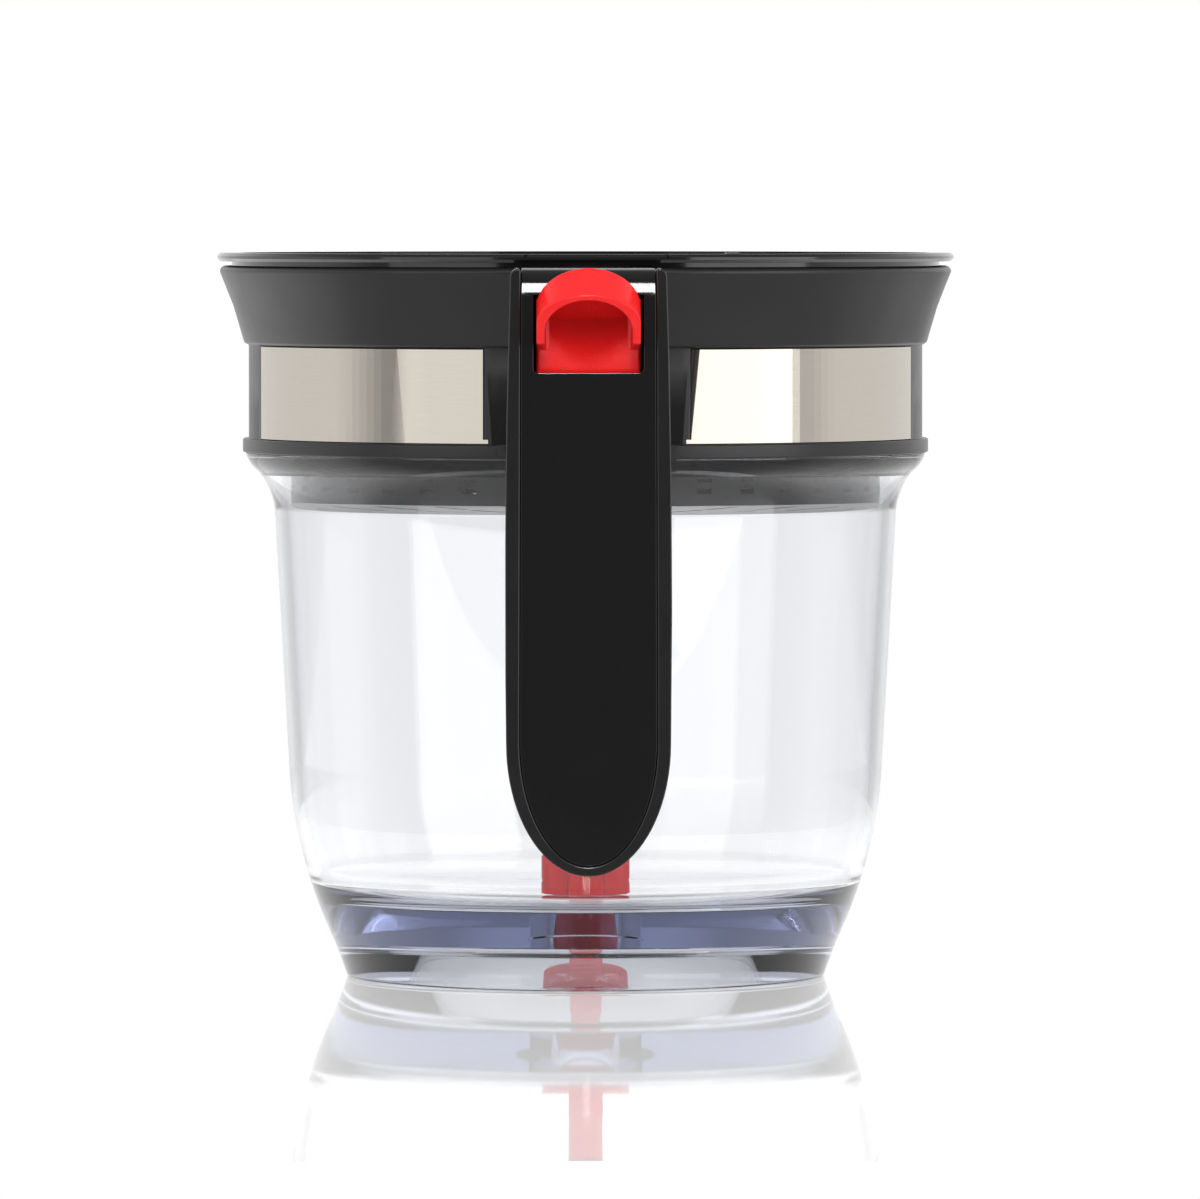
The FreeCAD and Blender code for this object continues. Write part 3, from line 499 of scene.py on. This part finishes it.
def turn_smooth(made, angle_deg=14, most_tangent=0.2):
    """Even shading for the faces of revolution about Z, whatever their triangles.

    A corner at bearing a takes the normal (p cos a, p sin a, q). The pair (p, q) is the sum
    of the profile directions of the faces in the corner's ring, same radius and height, that
    lie within the angle of its own face's direction, made one long."""
    mesh = made.data
    least = math.cos(math.radians(angle_deg))
    profiles = []
    rings = {}
    for face in mesh.polygons:
        (cx, cy), (nx, ny, nz) = face.center.xy, face.normal
        tangent = (cx * ny - cy * nx) / max(math.hypot(cx, cy), 1e-9)
        side = math.copysign(math.hypot(nx, ny), cx * nx + cy * ny)
        profiles.append(None if abs(tangent) > most_tangent else (side, nz))
        if profiles[-1] is None:
            continue
        for index in face.vertices:
            point = mesh.vertices[index].co
            ring = (round(math.hypot(point.x, point.y), 5), round(point.z, 5))
            rings.setdefault(ring, set()).add((round(side, 2), round(nz, 2)))
    normals = []
    for face in mesh.polygons:
        own = profiles[face.index]
        for index in face.vertices:
            point = mesh.vertices[index].co
            radius = math.hypot(point.x, point.y)
            if own is None or radius < 1e-6:
                normals.append((0, 0, 0))
                continue
            near = [
                way
                for way in rings[round(radius, 5), round(point.z, 5)]
                if way[0] * own[0] + way[1] * own[1] > least * math.hypot(*way)
            ]
            out = sum(way[0] for way in near) or own[0]
            up = sum(way[1] for way in near) or own[1]
            size = math.hypot(out, up)
            side = out / size
            normals.append((side * point.x / radius, side * point.y / radius, up / size))
    mesh.normals_split_custom_set(normals)


gloss_black, tree, shader = new_finish(
    "gloss_black",
    Base_Color=(0.008, 0.008, 0.0085, 1),
    Roughness=0.12,
    Coat_Weight=0.3,
    Coat_Roughness=0.05,
)
wave = noise(tree, place(tree), 60.0, 2.0)
feed(tree, shader, Normal=bump(tree, wave, 0.04, 0.0003), Roughness=0.09 + 0.06 * wave)
turn_smooth(crisp("lid_ring", "lid_ring_moulding", "lid", gloss_black))

strainer_tone = (0.008, 0.008, 0.0082, 1)
strainer_black = grained("strainer_black", strainer_tone, 0.3, 3000.0, 0.00002)
strainer_shader = strainer_black.node_tree.nodes["Principled BSDF"]
strainer_shader.inputs["Specular IOR Level"].default_value = 0.2
turn_smooth(crisp("strainer", "strainer_moulding", "lid", strainer_black))
turn_smooth(crisp("hub_cap", "hub_cap_moulding", "lid", gloss_black))

# The valve: an arm across the lid, a red rod down through the hub, and the soft red plug that
# its two legs hold by hooks over the drain hole.
arm_edge_round = 0.0004
rod_edge_round = 0.0003
plug_edge_round = 0.0003
dressed("lifter_arm", "lifter_arm_moulding", "valve", gloss_black, arm_edge_round)
dressed("pull_rod", "pull_rod_moulding", "valve", trigger_red, rod_edge_round)
plug_red, tree, shader = new_finish(
    "plug_red", Base_Color=(0.8, 0.012, 0.018, 1), Roughness=0.5, Specular_IOR_Level=0.25
)
skin = noise(tree, place(tree), 1500.0, 3.0)
feed(tree, shader, Roughness=0.42 + 0.15 * skin)
dressed("valve_plug", "valve_plug_moulding", "valve", plug_red, plug_edge_round)

# The table is pale and glossy, and ends just in front of the cup's mirror image. The camera
# sees it white, and so do mirror and clear rays behind the cup, but less in front and right.
table_half_width = 3.0
table_front = -0.43
table_back = 0.46
table_height = -0.00005
table_ior = 1.45
table_white = 0.95
table_corners = [
    (-table_half_width, table_front, table_height),
    (table_half_width, table_front, table_height),
    (table_half_width, table_back, table_height),
    (-table_half_width, table_back, table_height),
]
table_mesh = bpy.data.meshes.new("table")
table_mesh.from_pydata(table_corners, [], [(0, 1, 2, 3)])
table = bpy.data.objects.new("table", table_mesh)
bpy.context.scene.collection.objects.link(table)


def ramp(tree, wire, low, high, first, last):
    """A smooth step: first where the wire is at most low, last where it is at least high."""
    settings = {"interpolation_type": "SMOOTHSTEP"}
    return add_node(tree, "ShaderNodeMapRange", settings, wire, low, high, first, last)


table_top, tree, shader = new_finish(
    "table_top", Base_Color=(0.35, 0.35, 0.35, 1), Roughness=0.03, IOR=table_ior
)
path = tree.nodes.new("ShaderNodeLightPath")
by_camera = Wire(tree, path.outputs["Is Camera Ray"])
by_mirror = Wire(tree, path.outputs["Is Glossy Ray"])
by_object = by_mirror.math("MAXIMUM", by_mirror, Wire(tree, path.outputs["Is Transmission Ray"]))
to_right, to_back, _ = axes(tree, place(tree))
behind_cup = ramp(tree, to_back, -0.08, 0.02, 0.2, 1.0)
left_of_box = ramp(tree, to_right, 0.1, 0.3, 1.0, 0.4)
seen = by_camera.math("MAXIMUM", by_camera, by_object * behind_cup * left_of_box)
facing = 1 - add_node(tree, "ShaderNodeFresnel", {}, IOR=table_ior)
shader.inputs["Emission Strength"].default_value = 1.0
feed(tree, shader, Emission_Color=seen * facing * table_white)
table.data.materials.append(table_top)

# The surround is white to the camera. Mirror rays find it dark towards the camera, above and low
# on the right; clear rays find a grey backdrop; rays that light an object find an even 0.8.
ambient = 0.8
ambient_inside = 0.5
world = bpy.data.worlds.new("surround")
bpy.context.scene.world = world
world.use_nodes = True
tree = world.node_tree
path = tree.nodes.new("ShaderNodeLightPath")
camera_ray = Wire(tree, path.outputs["Is Camera Ray"])
diffuse_depth = Wire(tree, path.outputs["Diffuse Depth"])
through_ray = Wire(tree, path.outputs["Is Transmission Ray"])
mirror_ray = Wire(tree, path.outputs["Is Glossy Ray"]) * (1 - through_ray)
lit_through = diffuse_depth.math("GREATER_THAN", diffuse_depth, 0.5) * through_ray
clear_ray = through_ray - lit_through

sideways, behind, above = axes(tree, add_node(tree, "ShaderNodeTexCoord", output=0))
low_right = ramp(tree, sideways, 0.1, 0.6, 0.0, 0.5) * ramp(tree, above, -0.15, -0.03, 1.0, 0.0)
mirrored = ramp(tree, behind, -0.6, 0.1, 0.06, 0.95) * ramp(tree, above, 0.3, 0.8, 1.0, 0.2)
mirrored = mirrored * (1 - low_right)
backdrop = ramp(tree, behind, 0.9, 0.985, 0.0, 0.38) + ramp(tree, behind, -0.3, 0.4, 0.4, 0.62)
strength = camera_ray + clear_ray * backdrop + mirror_ray * mirrored
strength = strength + ambient * (1 - camera_ray - clear_ray - mirror_ray)
strength = strength + ambient_inside * lit_through
tree.links.new(strength.socket, tree.nodes["Background"].inputs["Strength"])
tree.nodes["Background"].inputs["Color"].default_value = (1, 1, 1, 1)

# Lamps: a key light above the camera, a narrow strip over it for the streaks on curved black,
# and a large softbox to either side for the steel.
lamp_aim = Vector((0, 0, 0.08))


def softbox(name, bearing_deg, rise_deg, distance, width, height, radiance):
    """A rectangular lamp that faces the object from a bearing right of the camera and a rise
    above the table: power = radiance * pi * area."""
    bearing, rise = math.radians(bearing_deg), math.radians(rise_deg)
    level = math.cos(rise)
    away = Vector((math.sin(bearing) * level, -math.cos(bearing) * level, math.sin(rise)))
    lamp = bpy.data.lights.new(name, "AREA")
    lamp.shape = "RECTANGLE"
    lamp.size = width
    lamp.size_y = height
    lamp.energy = radiance * math.pi * width * height
    box = bpy.data.objects.new(name, lamp)
    bpy.context.scene.collection.objects.link(box)
    box.location = lamp_aim + away * distance
    box.rotation_euler = away.to_track_quat("Z", "Y").to_euler()


softbox("key_light", 0, 30, 2.6, 1.3, 1.0, 2.7)
softbox("strip_light", 0, 40, 2.4, 0.12, 1.5, 60.0)
softbox("right_softbox", 53, 10, 1.9, 1.5, 1.3, 1.9)
softbox("left_softbox", -47, 12, 2.2, 1.5, 1.4, 1.1)

# The camera stands 2.2 m in front of the axis and a little above the lid's rim, with a long
# lens. Its place was fitted to the ellipses of the lid, the flange and the foot in the photo.
view_from = Vector((-0.011, -2.197, 0.1567))
view_aim = Vector((0.00295, 0, 0.0766))
lens_mm = 323.4
sensor_mm = 36.0
camera_data = bpy.data.cameras.new("camera")
camera_data.lens = lens_mm
camera_data.sensor_width = sensor_mm
camera_data.clip_end = 50.0
camera = bpy.data.objects.new("camera", camera_data)
bpy.context.scene.collection.objects.link(camera)
camera.location = view_from
camera.rotation_euler = (view_aim - view_from).to_track_quat("-Z", "Y").to_euler()
bpy.context.scene.camera = camera
bpy.context.scene.view_settings.view_transform = "Standard"
